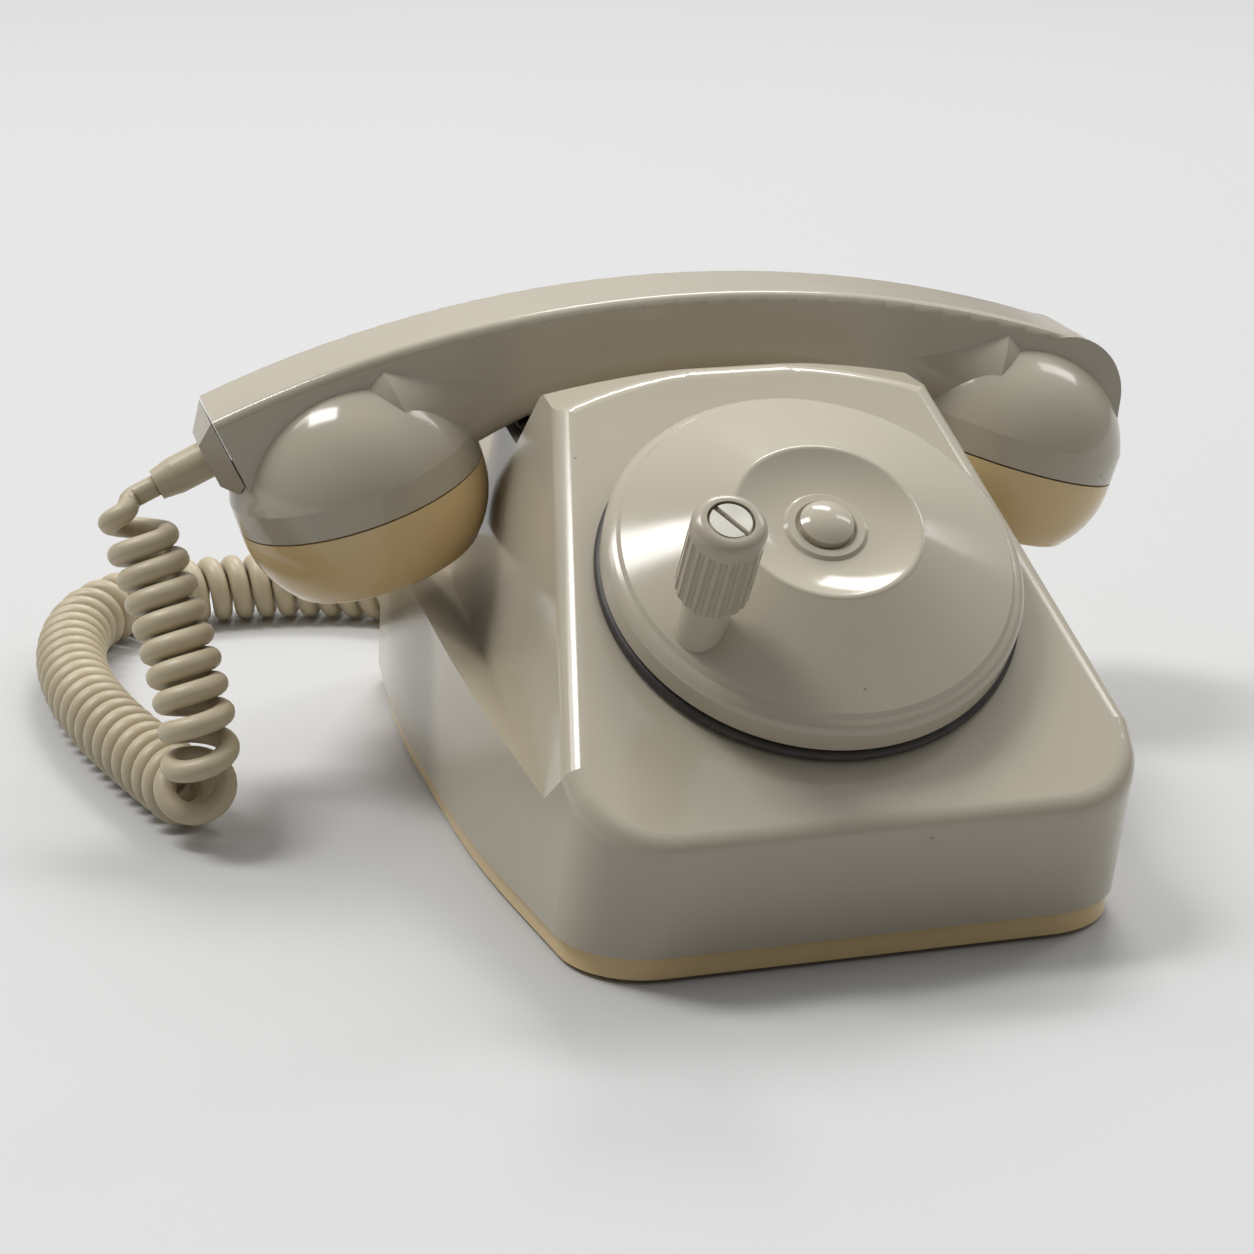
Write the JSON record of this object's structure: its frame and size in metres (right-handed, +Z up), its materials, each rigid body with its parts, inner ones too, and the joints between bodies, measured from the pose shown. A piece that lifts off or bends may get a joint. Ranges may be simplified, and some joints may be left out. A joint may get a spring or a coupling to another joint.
{
  "type": "crank desk telephone",
  "caption": "Desk telephone with a sloped panel, a disc crank with a turning knob that drives a magneto, a lift-off handset on a cradle and a curly cord.",
  "frame": {"origin": "on the surface it stands on, below the middle of the body", "axes": "+X to the phone's right along the handset, +Z up, the crank panel faces -Y"},
  "size_m": [0.2709, 0.2632, 0.116],
  "materials": {
    "grey_plastic": "glossy warm grey moulding",
    "cream_plastic": "glossy cream moulding",
    "knob_plastic": "ribbed grey moulding",
    "plug_plastic": "grey moulding",
    "dark_plastic": "dark moulding",
    "cord_vinyl": "satin vinyl",
    "black_rubber": "matt",
    "nickel": "nickel plated",
    "steel": "zinc plated",
    "gong_steel": "nickel plated bell metal",
    "brass": "plain",
    "iron": "blackened",
    "copper_wire": "enamelled winding",
    "aluminium_can": "plain"
  },
  "bodies": {
    "base": {"base_plate": "cream_plastic", "base_screws": "steel", "bell_gongs": "gong_steel", "capacitor": "aluminium_can", "clapper_post": "steel", "contact_block": "dark_plastic", "contact_bracket": "steel", "contact_springs": "brass", "cord_gland": "cord_vinyl", "cradle_pads": "black_rubber", "crank_bearing": "brass", "curly_cord": "cord_vinyl", "dial_ring": "dark_plastic", "frame_pillars": "steel", "frame_plate_bottom": "steel", "frame_plate_top": "steel", "frame_screws": "steel", "frame_spacers": "steel", "gong_posts": "steel", "gong_screws": "brass", "housing": "grey_plastic", "line_inlet": "cord_vinyl", "magnets": "iron", "pole_shoes": "iron", "ringer_coils": "copper_wire", "ringer_cores": "iron", "ringer_yoke": "iron", "rubber_feet": "black_rubber", "terminal_screws": "brass", "terminal_strip": "dark_plastic", "transformer_coil": "copper_wire", "transformer_core": "iron"},
    "crank": {"crank_disc": "grey_plastic", "crank_cap": "grey_plastic", "knob_post": "grey_plastic", "knob_screw": "nickel", "crank_shaft": "steel", "drive_gear": "brass"},
    "knob": {"crank_knob": "knob_plastic"},
    "rotor": {"rotor_shaft": "steel", "armature": "iron", "armature_winding": "copper_wire", "pinion": "steel"},
    "handset": {"handset_shell": "grey_plastic", "mouthpiece_cap": "cream_plastic", "earpiece_cap": "cream_plastic", "transmitter_capsule": "aluminium_can", "receiver_capsule": "aluminium_can", "cord_plug": "plug_plastic", "cord_sleeve": "cord_vinyl"},
    "hook": {"hook_plungers": "cream_plastic", "hook_bar": "steel"},
    "ringer_clapper": {"clapper": "brass"}
  },
  "joints": [
    {"name": "crank_turn", "type": "hinge", "parent": "base", "child": "crank", "pos_m": [0, -0.0541, 0.07258], "axis": [0, -0.5514, 0.8343], "continuous": true},
    {"name": "knob_spin", "type": "hinge", "parent": "crank", "child": "knob", "pos_m": [-0.03121, -0.07037, 0.06183], "axis": [0, -0.5514, 0.8343], "continuous": true},
    {"name": "rotor_spin", "type": "hinge", "parent": "base", "child": "rotor", "pos_m": [0, -0.02407, 0.09243], "axis": [0, -0.5514, 0.8343], "continuous": true},
    {"name": "handset_lift", "type": "slide", "parent": "base", "child": "handset", "axis": [0, 0, 1], "range_m": [0, 0.12]},
    {"name": "hook_rise", "type": "slide", "parent": "base", "child": "hook", "axis": [0, 0, 1], "range_m": [0, 0.006]},
    {"name": "clapper_swing", "type": "hinge", "parent": "base", "child": "ringer_clapper", "pos_m": [0, 0.031, 0.0215], "axis": [0, 0, 1], "range_deg": [-4, 4]}
  ],
  "couplings": [
    {"joint": "rotor_spin", "follows": "crank_turn", "ratio": -3},
    {"joint": "hook_rise", "follows": "handset_lift", "ratio": 0.05}
  ]
}
